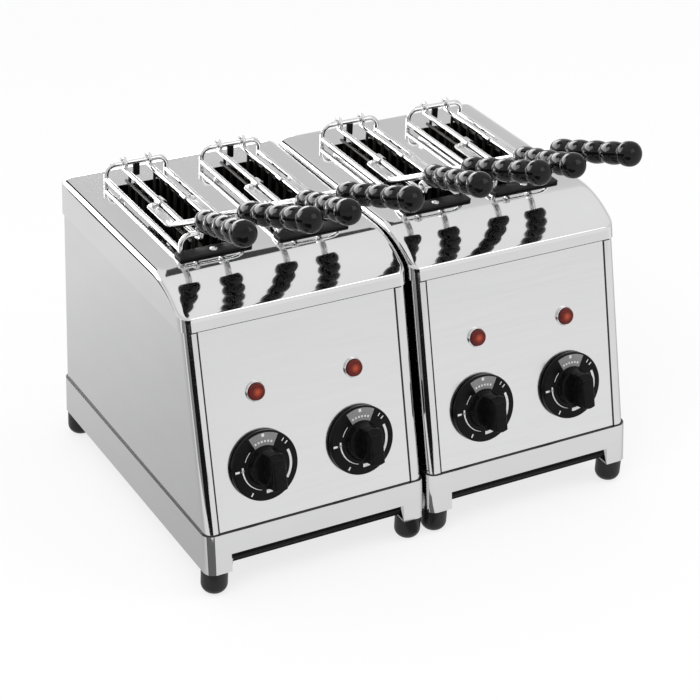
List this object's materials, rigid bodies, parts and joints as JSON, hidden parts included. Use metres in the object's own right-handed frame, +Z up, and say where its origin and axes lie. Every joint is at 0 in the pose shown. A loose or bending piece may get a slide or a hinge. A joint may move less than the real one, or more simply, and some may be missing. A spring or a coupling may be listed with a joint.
{
  "type": "sandwich toaster",
  "caption": "Counter-top sandwich toaster in polished steel with leaning control panels, timer knobs, pilot lamps, pull-out crumb trays and lift-out wire tongs with beaded black grips.",
  "frame": {"origin": "under the middle of the bounding box, on the worktop", "axes": "+X to the right across both modules, +Y to the back, +Z up; the control panels face -Y"},
  "size_m": [0.38, 0.2918, 0.303],
  "materials": {
    "polished_steel": "bright polished stainless steel",
    "panel_steel": "fine satin stainless steel",
    "oven_steel": "heat-darkened steel",
    "floor_steel": "dull steel",
    "wire_chrome": "plated wire",
    "arm_steel": "plain steel",
    "black_grip": "gloss black",
    "black_knob": "gloss black",
    "black_rubber": "matt black",
    "tray_black": "dark enamel",
    "quartz": "milky quartz",
    "lamp_rim": "bright rim",
    "lamp_red": "clear red",
    "timer_case": "moulded",
    "gland_black": "moulded black",
    "fixing_steel": "zinc plated"
  },
  "bodies": {
    "cabinet": {"plinth_left": "polished_steel", "plinth_right": "polished_steel", "floor_left": "floor_steel", "floor_right": "floor_steel", "casing_left": "polished_steel", "casing_right": "polished_steel", "front_panel_left": "panel_steel", "front_panel_right": "panel_steel", "back_panel_left": "panel_steel", "back_panel_right": "panel_steel", "hood_left": "polished_steel", "hood_right": "polished_steel", "oven_left": "oven_steel", "oven_right": "oven_steel", "rubber_feet": "black_rubber", "heating_tubes": "quartz", "pilot_bodies": "lamp_rim", "pilot_lenses": "lamp_red", "timers": "timer_case", "cable_glands": "gland_black", "panel_screws": "fixing_steel", "tie_bolts": "fixing_steel"},
    "crumb_tray_left": {"crumb_tray_left": "tray_black"},
    "crumb_tray_right": {"crumb_tray_right": "tray_black"},
    "timer_knob_1": {"knob_1": "black_knob", "timer_shaft_1": "fixing_steel"},
    "tong_1": {"tong_1_frame": "wire_chrome"},
    "tong_1_left": {"tong_1_left_jaw": "wire_chrome", "tong_1_left_arm": "arm_steel", "tong_1_left_grip": "black_grip"},
    "tong_1_right": {"tong_1_right_jaw": "wire_chrome", "tong_1_right_arm": "arm_steel", "tong_1_right_grip": "black_grip"},
    "timer_knob_2": {"knob_2": "black_knob", "timer_shaft_2": "fixing_steel"},
    "tong_2": {"tong_2_frame": "wire_chrome"},
    "tong_2_left": {"tong_2_left_jaw": "wire_chrome", "tong_2_left_arm": "arm_steel", "tong_2_left_grip": "black_grip"},
    "tong_2_right": {"tong_2_right_jaw": "wire_chrome", "tong_2_right_arm": "arm_steel", "tong_2_right_grip": "black_grip"},
    "timer_knob_3": {"knob_3": "black_knob", "timer_shaft_3": "fixing_steel"},
    "tong_3": {"tong_3_frame": "wire_chrome"},
    "tong_3_left": {"tong_3_left_jaw": "wire_chrome", "tong_3_left_arm": "arm_steel", "tong_3_left_grip": "black_grip"},
    "tong_3_right": {"tong_3_right_jaw": "wire_chrome", "tong_3_right_arm": "arm_steel", "tong_3_right_grip": "black_grip"},
    "timer_knob_4": {"knob_4": "black_knob", "timer_shaft_4": "fixing_steel"},
    "tong_4": {"tong_4_frame": "wire_chrome"},
    "tong_4_left": {"tong_4_left_jaw": "wire_chrome", "tong_4_left_arm": "arm_steel", "tong_4_left_grip": "black_grip"},
    "tong_4_right": {"tong_4_right_jaw": "wire_chrome", "tong_4_right_arm": "arm_steel", "tong_4_right_grip": "black_grip"}
  },
  "joints": [
    {"name": "crumb_tray_left_slide", "type": "slide", "parent": "cabinet", "child": "crumb_tray_left", "axis": [0, -1, 0], "range_m": [0, 0.19]},
    {"name": "crumb_tray_right_slide", "type": "slide", "parent": "cabinet", "child": "crumb_tray_right", "axis": [0, -1, 0], "range_m": [0, 0.19]},
    {"name": "timer_knob_1_turn", "type": "hinge", "parent": "cabinet", "child": "timer_knob_1", "pos_m": [-0.13675, -0.11541, 0.09418], "axis": [0, 0.9636, -0.2672], "range_deg": [0, 300]},
    {"name": "tong_1_lift", "type": "slide", "parent": "cabinet", "child": "tong_1", "axis": [0, 0, 1], "range_m": [0, 0.125]},
    {"name": "tong_1_left_slide", "type": "slide", "parent": "tong_1", "child": "tong_1_left", "axis": [1, 0, 0], "range_m": [-0.004, 0.005]},
    {"name": "tong_1_right_slide", "type": "slide", "parent": "tong_1", "child": "tong_1_right", "axis": [1, 0, 0], "range_m": [-0.005, 0.004]},
    {"name": "timer_knob_2_turn", "type": "hinge", "parent": "cabinet", "child": "timer_knob_2", "pos_m": [-0.05475, -0.11541, 0.09418], "axis": [0, 0.9636, -0.2672], "range_deg": [0, 300]},
    {"name": "tong_2_lift", "type": "slide", "parent": "cabinet", "child": "tong_2", "axis": [0, 0, 1], "range_m": [0, 0.125]},
    {"name": "tong_2_left_slide", "type": "slide", "parent": "tong_2", "child": "tong_2_left", "axis": [1, 0, 0], "range_m": [-0.004, 0.005]},
    {"name": "tong_2_right_slide", "type": "slide", "parent": "tong_2", "child": "tong_2_right", "axis": [1, 0, 0], "range_m": [-0.005, 0.004]},
    {"name": "timer_knob_3_turn", "type": "hinge", "parent": "cabinet", "child": "timer_knob_3", "pos_m": [0.05475, -0.11541, 0.09418], "axis": [0, 0.9636, -0.2672], "range_deg": [0, 300]},
    {"name": "tong_3_lift", "type": "slide", "parent": "cabinet", "child": "tong_3", "axis": [0, 0, 1], "range_m": [0, 0.125]},
    {"name": "tong_3_left_slide", "type": "slide", "parent": "tong_3", "child": "tong_3_left", "axis": [1, 0, 0], "range_m": [-0.004, 0.005]},
    {"name": "tong_3_right_slide", "type": "slide", "parent": "tong_3", "child": "tong_3_right", "axis": [1, 0, 0], "range_m": [-0.005, 0.004]},
    {"name": "timer_knob_4_turn", "type": "hinge", "parent": "cabinet", "child": "timer_knob_4", "pos_m": [0.13675, -0.11541, 0.09418], "axis": [0, 0.9636, -0.2672], "range_deg": [0, 300]},
    {"name": "tong_4_lift", "type": "slide", "parent": "cabinet", "child": "tong_4", "axis": [0, 0, 1], "range_m": [0, 0.125]},
    {"name": "tong_4_left_slide", "type": "slide", "parent": "tong_4", "child": "tong_4_left", "axis": [1, 0, 0], "range_m": [-0.004, 0.005]},
    {"name": "tong_4_right_slide", "type": "slide", "parent": "tong_4", "child": "tong_4_right", "axis": [1, 0, 0], "range_m": [-0.005, 0.004]}
  ],
  "couplings": [
    {"joint": "tong_1_right_slide", "follows": "tong_1_left_slide", "ratio": -1},
    {"joint": "tong_2_right_slide", "follows": "tong_2_left_slide", "ratio": -1},
    {"joint": "tong_3_right_slide", "follows": "tong_3_left_slide", "ratio": -1},
    {"joint": "tong_4_right_slide", "follows": "tong_4_left_slide", "ratio": -1}
  ]
}
